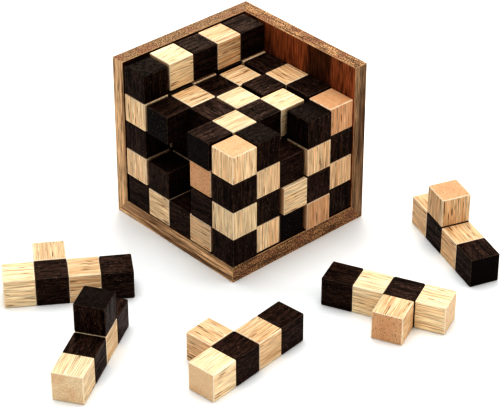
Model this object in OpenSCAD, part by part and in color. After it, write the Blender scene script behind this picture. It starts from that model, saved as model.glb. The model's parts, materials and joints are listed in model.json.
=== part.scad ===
// Chess-pattern packing puzzle: 25 five-cube pieces and an open corner tray.
// Each piece is a bar of four cubes with a fifth cube glued beside its second cube,
// in two woods that alternate from cube to cube. Twenty pieces are packed in the tray
// and five lie on the table in front of it.
// The origin is the centre of the tray's underside: +X points out through the right
// wall, +Y out through the left wall, +Z up.

/* [Cubes] */
// Edge length of one wooden cube
cube_w = 20; // [15:0.5:30]
// Width of the eased edges on every cube
ease_w = 0.5; // [0.2:0.1:1]

/* [Tray] */
// Thickness of the two upright panels
wall_t = 10; // [6:0.5:16]
// Thickness of the floor panel
floor_t = 11.5; // [6:0.5:18]
// Spare room across the tray once five cubes stand side by side
spare_w = 2.6; // [2.6:0.1:5]
// Spare height between five stacked cubes and the rim
spare_h = 2.6; // [1.5:0.1:5]

/* [Packing] */
// Average gap between neighbouring cubes of two different pieces
cube_gap = 0.15; // [0.1:0.01:0.2]

/* [Hidden] */
// The packing is counted in cells of one cube and its gap, five each way. Cell [0, 0, 0] is
// the bottom one at the open front corner, and a cell whose three numbers add up to an even
// number holds a dark cube.
cell_w = cube_w + cube_gap;
cells_across = 5;
inner_w = cells_across * cube_w + spare_w;
inner_h = cells_across * cube_w + spare_h;
outer_w = inner_w + wall_t;
// the tray's inner corner below cell [0, 0, 0], in the part's own frame
tray_corner = [-outer_w / 2, -outer_w / 2, floor_t];
// how far cell [0, 0, 0] starts from that corner
front_gap = [0.3, 0.6, 0];

RIGHT = [1, 0, 0];   // towards the right wall
LEFT = [-1, 0, 0];   // out of the tray, away from the right wall
BACK = [0, 1, 0];    // towards the left wall
FRONT = [0, -1, 0];  // out of the tray, away from the left wall
UP = [0, 0, 1];
DOWN = [0, 0, -1];

// Pieces in the tray: number, cell of the bar's first cube, the way the bar runs, the side of
// its second cube that the fifth cube is glued to, and how far it sits off its cells, in mm.
packed = [
    ["01", [0, 0, 0], UP, BACK, [-0.5, -1.5, 0]],
    ["02", [0, 4, 4], DOWN, RIGHT, [0, 1.2, 0]],
    ["03", [4, 4, 4], LEFT, DOWN, [0.6, 1.2, 1]],
    ["04", [3, 3, 3], LEFT, DOWN, [0, 0, 0]],
    ["05", [1, 0, 3], DOWN, RIGHT, [0, 0, 0]],
    ["06", [0, 1, 3], RIGHT, BACK, [-1.2, 0, 0]],
    ["07", [3, 1, 2], LEFT, DOWN, [0, 0, 0]],
    ["08", [3, 0, 0], UP, LEFT, [1.2, -1.8, 0]],
    ["09", [1, 4, 1], FRONT, UP, [0, 0, 0]],
    ["10", [0, 4, 0], FRONT, UP, [0, 0, 0]],
    ["11", [1, 4, 2], RIGHT, UP, [0, 1.2, 0]],
    ["12", [1, 4, 0], RIGHT, UP, [0, 0, 0]],
    ["13", [4, 1, 3], BACK, LEFT, [1.2, 0, 1]],
    ["14", [3, 4, 1], FRONT, UP, [0, 0, 0]],
    ["15", [4, 0, 3], DOWN, BACK, [1.4, 0, 0]],
    ["16", [4, 4, 1], FRONT, UP, [0, 0, 0]],
    ["17", [1, 2, 2], RIGHT, UP, [0, 0, 0]],
    ["18", [1, 3, 0], RIGHT, UP, [0, 0, 0]],
    ["19", [1, 1, 0], RIGHT, FRONT, [0, 0, 0]],
    ["20", [1, 2, 0], RIGHT, UP, [0, 0, 0]],
];

// Pieces on the table: number, place of the bar's first cube, the angle at which the bar runs,
// the side of the second cube that the fifth cube is glued to (seen with the bar running
// along +X), and whether the first cube is a dark one.
loose = [
    ["21", [-164, 19.5], -34, BACK, false],
    ["22", [-146, -44.5], -148, UP, true],
    ["23", [-135, -127], 6.5, BACK, false],
    ["24", [6.5, -169], 114.5, BACK, false],
    ["25", [81.5, -95.5], -109, UP, false],
];

// the name of the node that holds one wood of a piece
function name_of(piece, wood) = str("piece_", piece[0], "_", wood);

// whether the cell's cube is a dark one
function is_dark(cell) = (cell[0] + cell[1] + cell[2]) % 2 == 0;

// The five cubes of a piece, counted in cubes from its first one: the bar, then the fifth.
function cubes_of(run, side) = concat([for (i = [0:3]) i * run], [run + side]);

// A square with its four corners cut off, as wide as a cube
module eased_square() {
    half = cube_w / 2;
    near = half - ease_w;
    polygon([
        [near, -half], [half, -near], [half, near], [near, half],
        [-near, half], [-half, near], [-half, -near], [-near, -half]
    ]);
}

// One cube with eased edges, centred on the origin
module wooden_cube() {
    intersection() {
        linear_extrude(cube_w, center = true) eased_square();
        rotate([90, 0, 0]) linear_extrude(cube_w, center = true) eased_square();
        rotate([0, 90, 0]) linear_extrude(cube_w, center = true) eased_square();
    }
}

// The dark or the light cubes of one piece, whose first cube is centred on the origin
module cubes_of_one_wood(run, side, first_dark, dark) {
    cubes = cubes_of(run, side);
    for (c = cubes) {
        steps = abs(c[0]) + abs(c[1]) + abs(c[2]);
        cube_dark = (steps % 2 == 0) == first_dark;
        if (cube_dark == dark)
            color(dark ? "#2a1d18" : "#d9b27c") translate(cube_w * c) wooden_cube();
    }
}

// One wood of a piece in the tray. The piece's cubes touch, so only its second cube, to which
// the fifth is glued, is centred in its cell.
module packed_piece(piece, dark) {
    first = piece[1];
    run = piece[2];
    second_place = tray_corner + front_gap + cell_w * (first + run + [0.5, 0.5, 0.5]) + piece[4];
    translate(second_place - cube_w * run)
        cubes_of_one_wood(run, piece[3], is_dark(first), dark);
}

// One wood of a piece on the table
module loose_piece(piece, dark) {
    place = piece[1];
    translate([place[0], place[1], cube_w / 2]) rotate([0, 0, piece[2]])
        cubes_of_one_wood(RIGHT, piece[3], piece[4], dark);
}

// Section through the floor panel, from its free edge to the mitre at its far edge
module floor_section() {
    polygon([[0, 0], [outer_w, 0], [inner_w, floor_t], [0, floor_t]]);
}

// Section through an upright panel, from the mitre at its foot to the rim
module wall_section() {
    top = floor_t + inner_h;
    polygon([[inner_w, floor_t], [outer_w, 0], [outer_w, top], [inner_w, top]]);
}

module tray_floor() {
    color("#8a5a33") translate([-outer_w / 2, -outer_w / 2, 0]) intersection() {
        translate([0, outer_w, 0]) rotate([90, 0, 0]) linear_extrude(outer_w) floor_section();
        rotate([90, 0, 90]) linear_extrude(outer_w) floor_section();
    }
}

// The upright panel on the +X side, with its back edge mitred to the left wall
module tray_right_wall() {
    top = floor_t + inner_h;
    color("#8a5a33") translate([-outer_w / 2, -outer_w / 2, 0]) intersection() {
        translate([0, outer_w, 0]) rotate([90, 0, 0]) linear_extrude(outer_w) wall_section();
        linear_extrude(top)
            polygon([[inner_w, 0], [outer_w, 0], [outer_w, outer_w], [inner_w, inner_w]]);
    }
}

// The upright panel on the +Y side, the mirror image of the right wall
module tray_left_wall() {
    mirror([1, -1, 0]) tray_right_wall();
}

tray_floor();
tray_left_wall();
tray_right_wall();
for (piece = packed) {
    packed_piece(piece, true);
    packed_piece(piece, false);
}
for (piece = loose) {
    loose_piece(piece, true);
    loose_piece(piece, false);
}
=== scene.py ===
"""Chess-pattern packing puzzle: rounded cubes, mitred boards, three woods, a studio and a camera.

Every cube and board is a mesh of its own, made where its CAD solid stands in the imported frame. All
lengths are in metres, in the frame's own axes: +X out through the right wall, +Y out through the left
wall, +Z up.
"""

import json
import math
import random

import bmesh
import bpy
from mathutils import Matrix, Vector

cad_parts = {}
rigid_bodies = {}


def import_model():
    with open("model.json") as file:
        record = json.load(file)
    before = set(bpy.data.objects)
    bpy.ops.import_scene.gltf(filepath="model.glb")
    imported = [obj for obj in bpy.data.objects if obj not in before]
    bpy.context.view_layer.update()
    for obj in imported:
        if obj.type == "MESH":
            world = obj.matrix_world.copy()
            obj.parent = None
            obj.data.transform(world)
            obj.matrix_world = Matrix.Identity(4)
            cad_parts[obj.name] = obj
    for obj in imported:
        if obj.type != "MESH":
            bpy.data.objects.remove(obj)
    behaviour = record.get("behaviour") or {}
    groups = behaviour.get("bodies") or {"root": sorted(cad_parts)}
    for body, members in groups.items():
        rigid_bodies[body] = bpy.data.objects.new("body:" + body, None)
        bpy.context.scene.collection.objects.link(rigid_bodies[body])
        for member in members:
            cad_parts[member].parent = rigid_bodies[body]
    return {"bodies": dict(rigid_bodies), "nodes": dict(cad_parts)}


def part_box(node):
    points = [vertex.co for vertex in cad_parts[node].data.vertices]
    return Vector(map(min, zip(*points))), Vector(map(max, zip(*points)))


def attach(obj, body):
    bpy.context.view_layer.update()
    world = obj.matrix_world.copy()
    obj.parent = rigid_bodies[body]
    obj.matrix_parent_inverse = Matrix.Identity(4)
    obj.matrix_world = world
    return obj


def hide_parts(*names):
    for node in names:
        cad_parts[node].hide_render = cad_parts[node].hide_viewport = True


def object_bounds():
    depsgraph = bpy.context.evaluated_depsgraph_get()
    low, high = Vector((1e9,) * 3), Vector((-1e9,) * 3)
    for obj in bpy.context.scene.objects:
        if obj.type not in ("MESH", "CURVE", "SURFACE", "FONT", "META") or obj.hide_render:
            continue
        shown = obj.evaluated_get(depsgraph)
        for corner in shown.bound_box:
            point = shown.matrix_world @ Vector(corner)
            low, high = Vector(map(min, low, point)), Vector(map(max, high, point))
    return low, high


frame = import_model()
cad_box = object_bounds()

MM = 0.001
SEED = 25
rng = random.Random(SEED)
UP = Vector((0, 0, 1))

# The camera: where it stands, the way it looks and its lens.
CAMERA_PLACE = Vector((-0.7503, -0.8403, 0.7415))
LOOK_AZIMUTH = math.radians(47.9)
LOOK_DOWN = math.radians(33.1)
LENS = 148.5
SENSOR = 36.0

# The cubes: how much their edges are rounded and how far they stray from a perfect cube.
ROUND_LEAST = 0.7 * MM
ROUND_MOST = 1.05 * MM
ROUND_STEPS = 4
SHRINK_LEAST = 0.06 * MM
SHRINK_MOST = 0.14 * MM
TILT_MOST = math.radians(0.12)

# The tray boards: rounding of the free edges, and of the mitred joints as a share of that.
BOARD_ROUND = 0.5 * MM
MITRE_SHARE = 0.22

# Where a cube or board was cut from its log: from the centre of the rings, and along the log.
PITH_NEAR = 30 * MM
PITH_FAR = 90 * MM
LOG_LONG = 4.0

# What counts as one point and as one plane, how far up an upright face's normal may point, what no
# part of a slanted face's normal reaches, how far off two neighbouring cubes' distance may be as a
# share of it, and how nearly at right angles to the grain an axis has to be.
SAME_POINT = 0.001 * MM
SAME_PLANE = math.radians(1)
UPRIGHT = 0.1
SLANTED = 0.9
NEAR_ENOUGH = 0.05
ACROSS = 0.5

# The tone of a cube or board: brightness, redness and strength of figure. Most cubes' are drawn.
SHADE_DRAW = (-0.1, 0.08)
RED_DRAW = (0, 0.35)
FIGURE_DRAW = (0.2, 1)
PALE_TONE = (1.08, 0.0, 0.4)
TAN_TONE = (0.96, 0.2, 1.0)
REDDISH_TONE = (0.9, 0.7, 0.8)

# Light cubes that stand out, as piece number and place: 1 to 4 along the bar, 5 at its side.
PALE = {("03", 4), ("06", 4), ("24", 1), ("24", 3), ("21", 1), ("23", 1)}
TAN = {("04", 1), ("04", 3), ("13", 2), ("25", 3), ("03", 2), ("23", 3), ("21", 3)}
REDDISH = {("08", 1), ("07", 4), ("15", 1)}

# Fifth cubes whose grain runs along the bar. That of every other one points away from the bar.
LENGTHWISE = {("17", 5)}


def from_hex(code):
    """The linear colour of an sRGB hex code."""
    values = [int(code[i:i + 2], 16) / 255 for i in (1, 3, 5)]
    linear = [v / 12.92 if v <= 0.04045 else ((v + 0.055) / 1.055) ** 2.4 for v in values]
    return tuple(linear) + (1.0,)


# ---------------------------------------------------------------- nodes

class Nodes:
    """Short names for the shader nodes that the woods are made of."""

    def __init__(self, tree):
        self.tree = tree

    def add(self, kind, **settings):
        node = self.tree.nodes.new(kind)
        for key, value in settings.items():
            setattr(node, key, value)
        return node

    def join(self, value, socket):
        """Links a socket, or sets a constant."""
        if isinstance(value, bpy.types.NodeSocket):
            self.tree.links.new(value, socket)
        else:
            socket.default_value = value

    def attribute(self, name, part="Vector"):
        return self.add("ShaderNodeAttribute", attribute_name=name).outputs[part]

    def math(self, operation, *values, clamp=False):
        node = self.add("ShaderNodeMath", operation=operation, use_clamp=clamp)
        for value, socket in zip(values, node.inputs):
            self.join(value, socket)
        return node.outputs[0]

    def product(self, *values):
        """All the values multiplied with each other."""
        result = values[0]
        for value in values[1:]:
            result = self.math("MULTIPLY", result, value)
        return result

    def inverse(self, value):
        """1 where the value is 0, and 0 where it is 1."""
        return self.math("SUBTRACT", 1.0, value)

    def vector(self, operation, *values):
        node = self.add("ShaderNodeVectorMath", operation=operation)
        for value, socket in zip(values, node.inputs):
            self.join(value, socket)
        return node.outputs["Value" if operation == "LENGTH" else "Vector"]

    def parts(self, vector):
        node = self.add("ShaderNodeSeparateXYZ")
        self.join(vector, node.inputs[0])
        return node.outputs[0], node.outputs[1], node.outputs[2]

    def whole(self, x, y, z):
        node = self.add("ShaderNodeCombineXYZ")
        for value, socket in zip((x, y, z), node.inputs):
            self.join(value, socket)
        return node.outputs[0]

    def smooth(self, value, low, high):
        """0 below low, 1 above high, and a smooth step between them."""
        node = self.add("ShaderNodeMapRange", interpolation_type="SMOOTHSTEP")
        for v, socket in zip((value, low, high, 0.0, 1.0), node.inputs):
            self.join(v, socket)
        return node.outputs[0]

    def noise(self, vector, detail=2.0, roughness=0.5):
        node = self.add("ShaderNodeTexNoise", noise_dimensions="3D")
        self.join(vector, node.inputs["Vector"])
        self.join(1.0, node.inputs["Scale"])
        self.join(detail, node.inputs["Detail"])
        self.join(roughness, node.inputs["Roughness"])
        return node.outputs["Fac"]

    def cells(self, vector):
        """Distance to the nearest of many scattered points, and that point's own random number."""
        node = self.add("ShaderNodeTexVoronoi", voronoi_dimensions="3D", feature="F1")
        self.join(vector, node.inputs["Vector"])
        self.join(1.0, node.inputs["Scale"])
        return node.outputs["Distance"], self.parts(node.outputs["Color"])[0]

    def mix(self, amount, first, second, blend="MIX"):
        node = self.add("ShaderNodeMix", data_type="RGBA", blend_type=blend, clamp_factor=True)
        self.join(amount, node.inputs[0])
        self.join(first, node.inputs[6])
        self.join(second, node.inputs[7])
        return node.outputs[2]

    def brighten(self, colour, factor):
        """The colour multiplied by one number."""
        return self.mix(1.0, colour, self.whole(factor, factor, factor), "MULTIPLY")


# ---------------------------------------------------------------- woods

class Wood:
    """What one wood looks like. Lengths are in metres, and most amounts run from 0 to 1.

    The inside colour is the lining, the dark face that a tray board turns to the cubes. A wood that
    has none leaves it out.
    """

    def __init__(self, **facts):
        self.__dict__.update(facts)


# The edge colour goes along every edge: partly real wear, partly a painted highlight where the rounded
# edges catch the light. The dark wood's specks take it too.
LIGHT_WOOD = Wood(
    pale=from_hex("#ecdbbb"), deep=from_hex("#d8aa79"), red=from_hex("#d29268"),
    end=from_hex("#dab18c"), pore=from_hex("#5f3517"), edge=from_hex("#fff3de"), inside=None,
    band=1.6 * MM, band_long=45 * MM, band_depth=0.6,
    ring=2.6 * MM, ring_depth=0.3,
    fibre=0.5 * MM, fibre_long=16 * MM, fibre_depth=0.85,
    streak_gap=1.6 * MM, streak_long=55 * MM, streak_size=0.2, streak_share=0.5, streak_depth=1.0,
    pore_gap=1.3 * MM, pore_long=16 * MM, pore_size=0.2, pore_share=0.5, pore_depth=1.0,
    layer=2.3 * MM, layer_depth=0.08, end_pore=0.35, end_grit=0.1, end_patch=0.25, end_fibre=0.45,
    edge_width=1.15 * MM, wear_and_highlight_depth=0.8, speck_depth=0.0,
    roughness=0.52, rough_change=0.12, specular=0.25, bump=0.25,
)

DARK_WOOD = Wood(
    pale=from_hex("#46342c"), deep=from_hex("#090706"), red=from_hex("#38211b"),
    end=from_hex("#1b1311"), pore=from_hex("#040303"), edge=from_hex("#8f7f70"), inside=None,
    band=2.4 * MM, band_long=24 * MM, band_depth=0.8,
    ring=2.2 * MM, ring_depth=0.2,
    fibre=0.9 * MM, fibre_long=4 * MM, fibre_depth=1.7,
    streak_gap=1.5 * MM, streak_long=16 * MM, streak_size=0.2, streak_share=0.4, streak_depth=0.5,
    pore_gap=1.0 * MM, pore_long=4 * MM, pore_size=0.26, pore_share=0.6, pore_depth=0.85,
    layer=1.6 * MM, layer_depth=0.3, end_pore=0.9, end_grit=0.4, end_patch=0.0, end_fibre=1.0,
    edge_width=0.8 * MM, wear_and_highlight_depth=0.42, speck_depth=0.75,
    roughness=0.4, rough_change=0.2, specular=0.07, bump=0.6,
)

TRAY_WOOD = Wood(
    pale=from_hex("#c4a684"), deep=from_hex("#664c38"), red=from_hex("#8e6550"),
    end=from_hex("#a58463"), pore=from_hex("#26160d"), edge=from_hex("#e0c29c"),
    inside=from_hex("#986040"),
    band=4.2 * MM, band_long=80 * MM, band_depth=0.9,
    ring=3.2 * MM, ring_depth=0.4,
    fibre=0.75 * MM, fibre_long=14 * MM, fibre_depth=1.1,
    streak_gap=1.9 * MM, streak_long=110 * MM, streak_size=0.22, streak_share=0.65, streak_depth=0.8,
    pore_gap=1.2 * MM, pore_long=16 * MM, pore_size=0.22, pore_share=0.6, pore_depth=0.7,
    layer=1.0 * MM, layer_depth=0.75, end_pore=1.3, end_grit=0.9, end_patch=0.7, end_fibre=2.0,
    edge_width=0.7 * MM, wear_and_highlight_depth=0.7, speck_depth=0.0,
    roughness=0.48, rough_change=0.14, specular=0.15, bump=0.4,
)

# Scales of noise that are the same for all woods, along the grain and twice across it, per metre
WANDER_SCALE = (14.0, 55.0, 55.0)
PATCH_SCALE = (80.0, 80.0, 80.0)
LAYER_SCALE = (40.0, 60.0)
WEAR_AND_HIGHLIGHT_SCALE = (260.0, 700.0, 700.0)
SPECK_SCALE = (600.0, 900.0, 900.0)
# Sizes along and across the grain of the lining's blotches, and of the places crowded with dashes
BLOTCH_SIZE = (70 * MM, 14 * MM)
CROWD_SIZE = (22 * MM, 5 * MM)
# How far the grain wanders, and how much more likely a dash is in a crowded place
WANDER_FAR = 2.2 * MM
CROWD_PULL = 1.3
# Where the smooth steps of the patterns start and end
BAND_STEP = (0.36, 0.66)
RING_RISE = (0.25, 0.88)
RING_DROP = (0.9, 1.0)
LAYER_STEP = (0.44, 0.64)
GRIT_STEP = (0.36, 0.58)
BLOTCH_STEP = (0.4, 0.62)
PATCH_STEP = (0.45, 0.65)
LUCK_STEP = (-0.02, 0.06)
SPECK_STEP = (0.14, 0.3)
SPECK_LUCK = (0.8, 0.9)
WEAR_AND_HIGHLIGHT_STEP = (0.15, 1.0)
# A dash is solid up to the first share of its size and gone from the second on
DASH_CORE = 0.5
DASH_RIM = 1.3
# How deep below a face its end grain or lining fades out
END_SKIN = (0.05 * MM, 0.5 * MM)
LINING_SKIN = (0.1 * MM, 0.6 * MM)
# Shares by which patterns change the colour
HUE_SHARE = 0.8
BLOTCH_SHARE = 0.8
END_SHARE = 0.88
LINING_CALM = 0.6
FULL_END_FIGURE = 0.8
WEAR_AND_HIGHLIGHT_LEAST = 0.25
FIBRE_CONTRAST = 2.4
DARKEST = 0.05
# Relief: the heights of fibres, rings and pores, and how high 1 is. Pores are rougher, too.
FIBRE_HEIGHT = 0.5
RING_HEIGHT = -0.25
PORE_HEIGHT = -1.0
RELIEF = 0.12 * MM
PORE_ROUGHER = 0.2


def stretched(n, grain, long, across):
    return n.vector("MULTIPLY", grain, (1 / long, 1 / across, 1 / across))


def wandering(n, place):
    """The place in the wood, with the grain a little crooked."""
    wander = n.noise(n.vector("MULTIPLY", place, WANDER_SCALE))
    wander = n.product(n.math("SUBTRACT", wander, 0.5), WANDER_FAR)
    return n.vector("ADD", place, n.whole(0.0, wander, wander))


def growth_rings(n, wood, grain):
    """Slowly darker from one ring to the next, around the centre of the log."""
    _, across, upward = n.parts(grain)
    radius = n.vector("LENGTH", n.whole(0.0, across, upward))
    turn = n.math("FRACT", n.math("DIVIDE", radius, wood.ring))
    return n.product(n.smooth(turn, *RING_RISE), n.inverse(n.smooth(turn, *RING_DROP)))


def dashes(n, grain, crowd, long, gap, size, share):
    """Scattered spindles along the grain, more of them where crowd is above 0, fewer below."""
    distance, luck = n.cells(stretched(n, grain, long, gap))
    chance = n.math("MULTIPLY_ADD", crowd, CROWD_PULL, share)
    present = n.smooth(n.math("SUBTRACT", chance, luck), *LUCK_STEP)
    return n.product(present, n.inverse(n.smooth(distance, size * DASH_CORE, size * DASH_RIM)))


def second_least(n, vector):
    x, y, z = n.parts(vector)
    return n.math("MAXIMUM", n.math("MINIMUM", x, y), n.math("MINIMUM", n.math("MAXIMUM", x, y), z))


def end_mask(n, inset):
    """1 on the two faces that the grain runs into."""
    return n.inverse(n.smooth(n.parts(inset)[0], *END_SKIN))


def wear_and_highlight_mask(n, wood, place, inset):
    """1 along the edges: real wear and a painted highlight, unevenly wide."""
    wear_and_highlight_noise = n.noise(n.vector("MULTIPLY", place, WEAR_AND_HIGHLIGHT_SCALE))
    reach = n.product(n.math("ADD", wear_and_highlight_noise, WEAR_AND_HIGHLIGHT_LEAST), wood.edge_width)
    return n.inverse(n.smooth(n.math("DIVIDE", second_least(n, inset), reach), *WEAR_AND_HIGHLIGHT_STEP))


def lining_mask(n, painted_lining_shade):
    """1 on a board's face towards the cubes."""
    depth = n.parts(n.vector("SUBTRACT", n.attribute("half"), n.attribute("spot")))[2]
    return n.product(n.inverse(n.smooth(depth, *LINING_SKIN)), n.math("GREATER_THAN", painted_lining_shade, 0.0))


def lining_colour(n, wood, grain, painted_lining_shade):
    blotch = n.noise(stretched(n, grain, *BLOTCH_SIZE), detail=4.0, roughness=0.6)
    blotch = n.smooth(blotch, *BLOTCH_STEP)
    # the lining's brightness per board: painted shade where the lining lies in the narrow gap beside
    # the cubes
    return n.brighten(n.mix(n.product(blotch, BLOTCH_SHARE), wood.inside, wood.pore), painted_lining_shade)


def end_colour(n, wood, grain, fibre, figure):
    """The colour of the end grain, with its growth layers, grit and broad patches."""
    end_shade = n.attribute("end_shade", "Fac")
    layers = n.noise(n.vector("MULTIPLY", grain, LAYER_SCALE + (1 / wood.layer,)))
    layers = n.smooth(layers, *LAYER_STEP)
    grit = n.inverse(n.smooth(fibre, *GRIT_STEP))
    patch = n.smooth(n.noise(n.vector("MULTIPLY", grain, PATCH_SCALE)), *PATCH_STEP)
    colour = n.mix(n.smooth(figure, 0.0, FULL_END_FIGURE), wood.pale, wood.end)
    colour = n.brighten(colour, end_shade)
    colour = n.mix(n.product(layers, figure, wood.layer_depth), colour, wood.pore)
    colour = n.mix(n.product(grit, wood.end_grit), colour, wood.deep)
    return n.mix(n.product(patch, wood.end_patch), colour, wood.red)


def add_specks(n, wood, place, colour):
    """Fine bright specks, scattered by chance."""
    dust, spread = n.cells(n.vector("MULTIPLY", place, SPECK_SCALE))
    speck = n.product(n.inverse(n.smooth(dust, *SPECK_STEP)), n.smooth(spread, *SPECK_LUCK))
    return n.mix(n.product(speck, wood.speck_depth), colour, wood.edge)


def wood_material(name, wood):
    """One procedural solid wood. The grain runs along the first part of the wood attribute."""
    material = bpy.data.materials.new(name)
    material.use_nodes = True
    n = Nodes(material.node_tree)
    shader = material.node_tree.nodes["Principled BSDF"]
    place = n.attribute("wood")
    shade, hue, figure = n.parts(n.attribute("tone"))

    # broad bands, growth rings, fibres, long dark streaks and short pores
    grain = wandering(n, place)
    band = n.noise(stretched(n, grain, wood.band_long, wood.band), detail=3.0, roughness=0.55)
    band = n.smooth(band, *BAND_STEP)
    ring = growth_rings(n, wood, grain)
    fibre = n.noise(stretched(n, grain, wood.fibre_long, wood.fibre), roughness=0.6)
    crowd = n.math("SUBTRACT", n.noise(stretched(n, grain, *CROWD_SIZE), detail=1.0), 0.5)
    streak = dashes(
        n, grain, crowd, wood.streak_long, wood.streak_gap, wood.streak_size, wood.streak_share)
    streak = n.product(streak, figure)
    pore = dashes(n, grain, crowd, wood.pore_long, wood.pore_gap, wood.pore_size, wood.pore_share)

    # how far the point lies inside each pair of faces of its own cube or board
    inset = n.vector("SUBTRACT", n.attribute("half"), n.vector("ABSOLUTE", n.attribute("spot")))
    end = end_mask(n, inset)
    # edge marks where real wear and a painted highlight brighten the edges
    edge = wear_and_highlight_mask(n, wood, place, inset)

    # the ground: side grain, lining and end grain
    half_band = wood.band_depth * 0.5
    banding = n.product(band, n.math("MULTIPLY_ADD", figure, half_band, half_band))
    colour = n.mix(banding, wood.pale, wood.deep)
    colour = n.mix(n.math("MULTIPLY", hue, HUE_SHARE, clamp=True), colour, wood.red)
    colour = n.mix(n.product(ring, figure, wood.ring_depth), colour, wood.deep)
    colour = n.brighten(colour, shade)
    if wood.inside:
        painted_lining_shade = n.attribute("painted_lining_shade", "Fac")
        inner = lining_mask(n, painted_lining_shade)
        colour = n.mix(inner, colour, lining_colour(n, wood, grain, painted_lining_shade))
        streak = n.product(streak, n.math("MULTIPLY_ADD", inner, -LINING_CALM, 1.0))
    colour = n.mix(n.product(end, END_SHARE), colour, end_colour(n, wood, grain, fibre, figure))

    # the marks on it
    contrast = n.math("MULTIPLY_ADD", end, wood.end_fibre - 1.0, 1.0)
    contrast = n.product(contrast, wood.fibre_depth * FIBRE_CONTRAST)
    lighter = n.math("MULTIPLY_ADD", n.math("SUBTRACT", fibre, 0.5), contrast, 1.0)
    colour = n.brighten(colour, n.math("MAXIMUM", lighter, DARKEST))
    colour = n.mix(n.product(streak, wood.streak_depth), colour, wood.pore)
    open_pore = n.product(pore, n.math("MULTIPLY_ADD", end, wood.end_pore - 1.0, 1.0))
    colour = n.mix(n.product(open_pore, wood.pore_depth), colour, wood.pore)
    # painted highlight and real wear along the edges
    colour = n.mix(n.product(edge, wood.wear_and_highlight_depth), colour, wood.edge)
    if wood.speck_depth:
        colour = add_specks(n, wood, place, colour)
    n.join(colour, shader.inputs["Base Color"])

    # gloss and relief
    rough = n.math("MULTIPLY_ADD", n.math("SUBTRACT", band, fibre), wood.rough_change, wood.roughness)
    rough = n.math("MULTIPLY_ADD", pore, PORE_ROUGHER, rough, clamp=True)
    n.join(rough, shader.inputs["Roughness"])
    shader.inputs["Specular IOR Level"].default_value = wood.specular
    height = n.math("MULTIPLY_ADD", fibre, FIBRE_HEIGHT, n.product(pore, PORE_HEIGHT))
    height = n.math("MULTIPLY_ADD", ring, RING_HEIGHT, height)
    bump = n.add("ShaderNodeBump")
    bump.inputs["Strength"].default_value = wood.bump
    bump.inputs["Distance"].default_value = RELIEF
    n.join(height, bump.inputs["Height"])
    n.join(bump.outputs[0], shader.inputs["Normal"])
    return material


MATERIALS = {
    "light": wood_material("light_wood", LIGHT_WOOD),
    "dark": wood_material("dark_wood", DARK_WOOD),
    "tray": wood_material("tray_wood", TRAY_WOOD),
}


# ---------------------------------------------------------------- meshes

def set_number(mesh, name, value):
    """One number for the whole mesh, as an attribute that its material reads."""
    attribute = mesh.attributes.new(name, "FLOAT", "POINT")
    attribute.data.foreach_set("value", [value] * len(mesh.vertices))


def set_vectors(mesh, values):
    """Attributes with one vector for each vertex, as the material reads them."""
    for key, vectors in values.items():
        attribute = mesh.attributes.new(key, "FLOAT_VECTOR", "POINT")
        attribute.data.foreach_set("vector", [v for vector in vectors for v in vector])


def no_values():
    """Empty lists: place in the log, place from the middle, half the size, and tone."""
    return {"wood": [], "spot": [], "half": [], "tone": []}


def add_object(name, mesh):
    made = bpy.data.objects.new(name, mesh)
    bpy.context.scene.collection.objects.link(made)
    return made


class Pile:
    """Collects the vertices, faces and wood attributes of one mesh."""

    def __init__(self):
        self.points = []
        self.faces = []
        self.normals = []
        self.values = no_values()

    def object(self, name, material):
        mesh = bpy.data.meshes.new(name)
        mesh.from_pydata(self.points, [], self.faces)
        mesh.polygons.foreach_set("use_smooth", [True] * len(mesh.polygons))
        set_vectors(mesh, self.values)
        set_number(mesh, "end_shade", 1.0)
        mesh.normals_split_custom_set_from_vertices(self.normals)
        mesh.materials.append(material)
        return add_object(name, mesh)


def rounded_cube(width, rounding):
    """Vertices and faces of a cube with rounded edges, centred on the origin."""
    bm = bmesh.new()
    bmesh.ops.create_cube(bm, size=width)
    bmesh.ops.bevel(
        bm, geom=bm.edges[:], offset=rounding, offset_type="OFFSET", segments=ROUND_STEPS,
        profile=0.5, affect="EDGES")
    bm.verts.index_update()
    points = [v.co.copy() for v in bm.verts]
    faces = [[v.index for v in f.verts] for f in bm.faces]
    bm.free()
    return points, faces


def cut_from_log():
    """Where in a log a cube or board was cut: along the grain, and beside the centre of the rings."""
    radius = rng.uniform(PITH_NEAR, PITH_FAR)
    angle = rng.uniform(0, 2 * math.pi)
    return Vector((rng.uniform(0, LOG_LONG), radius * math.cos(angle), radius * math.sin(angle)))


def small_tilt():
    """A turn by a tiny random angle about a random axis."""
    angle = rng.uniform(-TILT_MOST, TILT_MOST)
    return Matrix.Rotation(angle, 3, Vector([rng.gauss(0, 1) for _ in range(3)]))


def add_cube(pile, centre, axes, width, tone):
    """Adds one cube, whose grain runs along the first of its three axes."""
    width -= rng.uniform(SHRINK_LEAST, SHRINK_MOST)
    rounding = rng.uniform(ROUND_LEAST, ROUND_MOST)
    points, faces = rounded_cube(width, rounding)
    cut = cut_from_log()
    turn = small_tilt() @ Matrix(axes).transposed()
    flat = width / 2 - rounding
    start = len(pile.points)
    for point in points:
        core = Vector([max(-flat, min(flat, v)) for v in point])
        pile.points.append(centre + turn @ point)
        pile.normals.append(turn @ (point - core).normalized())
        pile.values["wood"].append(cut + point)
        pile.values["spot"].append(point)
        pile.values["half"].append((width / 2,) * 3)
        pile.values["tone"].append(tone)
    pile.faces += [[start + i for i in face] for face in faces]


def tone_of(key, kind):
    """Brightness, redness and strength of figure of one cube."""
    tone = (1 + rng.uniform(*SHADE_DRAW), rng.uniform(*RED_DRAW), rng.uniform(*FIGURE_DRAW))
    if kind == "light" and key in PALE:
        tone = PALE_TONE
    if kind == "light" and key in TAN:
        tone = TAN_TONE
    if kind == "light" and key in REDDISH:
        tone = REDDISH_TONE
    return tone


# ---------------------------------------------------------------- pieces

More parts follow.
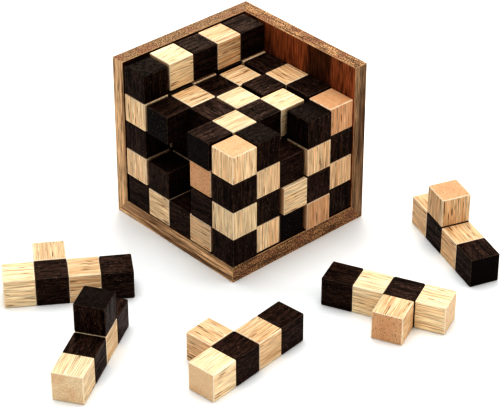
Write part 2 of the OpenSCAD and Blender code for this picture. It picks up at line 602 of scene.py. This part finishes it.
def solids_of(node):
    """The separate solids of a CAD node: each one's points, and its faces' areas and normals."""
    bm = bmesh.new()
    bm.from_mesh(frame["nodes"][node].data)
    bmesh.ops.remove_doubles(bm, verts=bm.verts[:], dist=SAME_POINT)
    todo = set(bm.verts)
    found = []
    for seed in bm.verts:
        if seed not in todo:
            continue
        todo.discard(seed)
        island = [seed]
        for vert in island:
            near = [e.other_vert(vert) for e in vert.link_edges]
            island += [v for v in near if v in todo]
            todo.difference_update(near)
        sides = {f for v in island for f in v.link_faces}
        found.append((
            [v.co.copy() for v in island],
            sorted(((f.calc_area(), tuple(f.normal)) for f in sides), reverse=True)))
    bm.free()
    return found


def level_axis(sides):
    """The direction of the largest upright face."""
    return next(Vector(normal) for _, normal in sides if abs(normal[2]) < UPRIGHT)


def neighbours(spots, centre, width):
    return [s for s in spots if abs((s - centre).length - width) < NEAR_ENOUGH * width]


def in_order(spots, width):
    """The cubes' centres in the order of the piece, the four of the bar and then the one beside it."""
    hub = next(s for s in spots if len(neighbours(spots, s, width)) == 3)
    around = neighbours(spots, hub, width)
    third = next(s for s in around if len(neighbours(spots, s, width)) == 2)
    first = min(around, key=lambda s: (s + third - 2 * hub).length)
    side = next(s for s in around if s is not third and s is not first)
    fourth = next(s for s in neighbours(spots, third, width) if s is not hub)
    return [first, hub, third, fourth, side]


def axes_for(grain, level):
    """Three axes of a cube: its grain, and two more across it, turned by chance."""
    across = [a for a in (level, UP, level.cross(UP)) if abs(a.dot(grain)) < ACROSS]
    second = rng.choice(across) * rng.choice((-1, 1))
    return [grain, second, grain.cross(second)]


def make_piece(number):
    """The dark and the light cubes of one piece, in place of its two CAD nodes."""
    spots = {}
    for kind in ("dark", "light"):
        for points, sides in solids_of(f"piece_{number}_{kind}"):
            centre = sum(points, Vector()) / len(points)
            level = level_axis(sides)
            width = 2 * max((p - centre).dot(level) for p in points)
            spots[tuple(centre)] = kind
    ordered = in_order([Vector(s) for s in spots], width)
    bar = (ordered[2] - ordered[0]).normalized()
    branch = (ordered[4] - ordered[1]).normalized()
    piles = {"dark": Pile(), "light": Pile()}
    for place, centre in enumerate(ordered, start=1):
        key = (number, place)
        kind = spots[tuple(centre)]
        outward = place == 5 and key not in LENGTHWISE
        axes = axes_for(branch if outward else bar, level)
        add_cube(piles[kind], centre, axes, width, tone_of(key, kind))
    for kind, pile in piles.items():
        made = pile.object(f"{kind}_cubes_{number}", MATERIALS[kind])
        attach(made, f"piece_{number}")
        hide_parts(f"piece_{number}_{kind}")


# ---------------------------------------------------------------- tray

def board_mesh(node, name):
    """A CAD board without its inner triangle edges, its free edges weighted for full rounding."""
    bm = bmesh.new()
    bm.from_mesh(frame["nodes"][node].data)
    bmesh.ops.remove_doubles(bm, verts=bm.verts[:], dist=SAME_POINT)
    bmesh.ops.dissolve_limit(bm, angle_limit=SAME_PLANE, verts=bm.verts[:], edges=bm.edges[:])
    weights = bm.edges.layers.float.new("bevel_weight_edge")
    for edge in bm.edges:
        slanted = [f for f in edge.link_faces if max(abs(v) for v in f.normal) < SLANTED]
        edge[weights] = MITRE_SHARE if slanted else 1.0
    mesh = bpy.data.meshes.new(name)
    bm.to_mesh(mesh)
    bm.free()
    mesh.polygons.foreach_set("use_smooth", [True] * len(mesh.polygons))
    return mesh


def round_edges(made):
    """Applies a weighted bevel to the object and returns its new mesh."""
    bevel = made.modifiers.new("rounding", "BEVEL")
    bevel.width = BOARD_ROUND
    bevel.segments = ROUND_STEPS
    bevel.limit_method = "WEIGHT"
    bevel.harden_normals = True
    final = made.evaluated_get(bpy.context.evaluated_depsgraph_get())
    rounded = bpy.data.meshes.new_from_object(final)
    made.modifiers.clear()
    made.data = rounded
    return rounded


def make_board(node, name, along, inward, tone, end_shade, painted_lining_shade):
    """One mitred board in place of its CAD node.

    Its grain runs along one direction and its lining looks inward. The last two numbers are the
    brightness of its end grain and of its lining, which on the left wall and the floor is painted
    dark as shade in the narrow gap beside the cubes.
    """
    made = add_object(name, board_mesh(node, name))
    rounded = round_edges(made)
    low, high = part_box(node)
    middle = (low + high) / 2
    axes = Matrix([along, along.cross(inward), inward])
    half = Vector([abs(v) for v in axes @ ((high - low) / 2)])
    cut = cut_from_log()
    values = no_values()
    for vert in rounded.vertices:
        spot = axes @ (vert.co - middle)
        values["wood"].append(cut + spot)
        values["spot"].append(spot)
        values["half"].append(half)
        values["tone"].append(tone)
    set_vectors(rounded, values)
    set_number(rounded, "painted_lining_shade", painted_lining_shade)
    set_number(rounded, "end_shade", end_shade)
    rounded.materials.clear()
    rounded.materials.append(MATERIALS["tray"])
    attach(made, "tray")
    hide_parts(node)


# The left wall's and the floor's linings are painted dark, as shade in the narrow gap beside the
# cubes.
make_board(
    "tray_floor", "floor_board", along=Vector((0, 1, 0)), inward=UP,
    tone=(1.42, 0.0, 1.0), end_shade=1.3, painted_lining_shade=0.3)
make_board(
    "tray_left_wall", "left_board", along=UP, inward=Vector((0, -1, 0)),
    tone=(1.4, 0.0, 0.4), end_shade=0.72, painted_lining_shade=0.3)
make_board(
    "tray_right_wall", "right_board", along=UP, inward=Vector((-1, 0, 0)),
    tone=(0.72, 0.15, 1.0), end_shade=1.6, painted_lining_shade=1.2)
for body in sorted(frame["bodies"]):
    if body.startswith("piece_"):
        make_piece(body.removeprefix("piece_"))


# ---------------------------------------------------------------- studio

TABLE_HALF = 4.0
PAPER = from_hex("#f5f8fb")
PAPER_MOTTLE = from_hex("#dcdcdc")
MOTTLE_SCALE = (6.0, 6.0, 6.0)
MOTTLE_SHARE = 0.04
PAPER_ROUGHNESS = 0.6
PAPER_SPECULAR = 0.2
WORLD_COLOUR = (1.0, 0.965, 0.93, 1.0)
WORLD_STRENGTH = 0.435


def paper_material(name):
    """Matt paper: a pale colour with the faintest mottle."""
    material = bpy.data.materials.new(name)
    material.use_nodes = True
    n = Nodes(material.node_tree)
    shader = material.node_tree.nodes["Principled BSDF"]
    place = n.add("ShaderNodeTexCoord").outputs["Object"]
    mottle = n.noise(n.vector("MULTIPLY", place, MOTTLE_SCALE), detail=3.0)
    n.join(n.mix(n.product(mottle, MOTTLE_SHARE), PAPER, PAPER_MOTTLE), shader.inputs["Base Color"])
    shader.inputs["Roughness"].default_value = PAPER_ROUGHNESS
    shader.inputs["Specular IOR Level"].default_value = PAPER_SPECULAR
    return material


def make_floor():
    bm = bmesh.new()
    bmesh.ops.create_grid(bm, x_segments=8, y_segments=8, size=TABLE_HALF)
    mesh = bpy.data.meshes.new("table_top")
    bm.to_mesh(mesh)
    bm.free()
    mesh.materials.append(paper_material("white_paper"))
    floor = add_object("table_top", mesh)
    floor.location.z = cad_box[0].z


def softbox(name, place, size, power, colour):
    """A square area light that looks at the middle of the puzzle."""
    light = bpy.data.lights.new(name, "AREA")
    light.shape = "SQUARE"
    light.size = size
    light.energy = power
    light.color = colour
    lamp = add_object(name, light)
    lamp.location = place
    aim = (cad_box[0] + cad_box[1]) / 2 - Vector(place)
    lamp.rotation_mode = "QUATERNION"
    lamp.rotation_quaternion = aim.to_track_quat("-Z", "Y")
    lamp.visible_camera = False


def make_world():
    world = bpy.data.worlds.new("studio")
    world.use_nodes = True
    background = world.node_tree.nodes["Background"]
    background.inputs["Color"].default_value = WORLD_COLOUR
    background.inputs["Strength"].default_value = WORLD_STRENGTH
    bpy.context.scene.world = world


def make_camera():
    camera = add_object("camera", bpy.data.cameras.new("camera"))
    camera.data.lens = LENS
    camera.data.sensor_width = SENSOR
    camera.location = CAMERA_PLACE
    level = math.cos(LOOK_DOWN)
    look = Vector((
        math.cos(LOOK_AZIMUTH) * level, math.sin(LOOK_AZIMUTH) * level, -math.sin(LOOK_DOWN)))
    camera.rotation_mode = "QUATERNION"
    camera.rotation_quaternion = look.to_track_quat("-Z", "Y")
    bpy.context.scene.camera = camera


make_camera()
make_floor()
make_world()
softbox("overhead", place=(0.1, 0.2, 2.6), size=1.8, power=28.0, colour=(0.96, 1.0, 1.0))
softbox("behind", place=(1.35, 1.45, 1.4), size=1.0, power=7.4, colour=(1.0, 0.8, 0.65))
softbox("right_hand", place=(1.3, -1.5, 1.1), size=0.9, power=4.0, colour=(1.0, 0.88, 0.78))
bpy.context.scene.view_settings.view_transform = "Standard"
bpy.context.scene.view_settings.look = "Very High Contrast"
